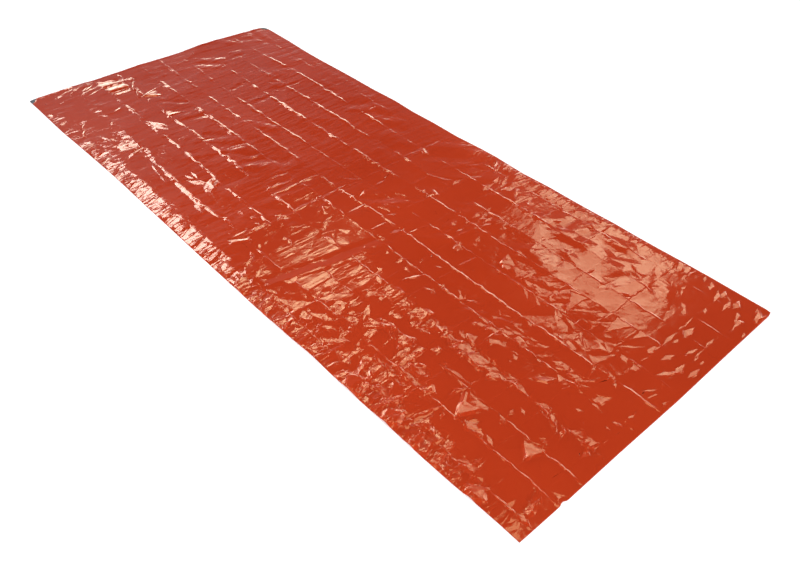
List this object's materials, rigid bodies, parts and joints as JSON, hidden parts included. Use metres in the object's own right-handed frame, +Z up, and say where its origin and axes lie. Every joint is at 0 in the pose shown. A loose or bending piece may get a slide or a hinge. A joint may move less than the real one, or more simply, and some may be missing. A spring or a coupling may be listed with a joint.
{
  "type": "emergency sleeping bag",
  "caption": "Flat-laid emergency sleeping bag of thin glossy orange-red film: two panels welded on both sides and the foot, open at the mouth, with its packet folds.",
  "frame": {"origin": "on the surface the bag lies on, under the middle of its box", "axes": "+Z up, +Y along the bag from the foot to the open mouth, +X across it from the left side to the right side"},
  "size_m": [0.9284, 2.1198, 0.0059],
  "materials": {
    "film_upper": "glossy orange-red metallised film, sharply creased",
    "film_under": "glossy orange-red film outside, bare silver inside"
  },
  "bodies": {
    "root": {"lower_panel": "film_under", "upper_panel": "film_upper"}
  },
  "joints": []
}
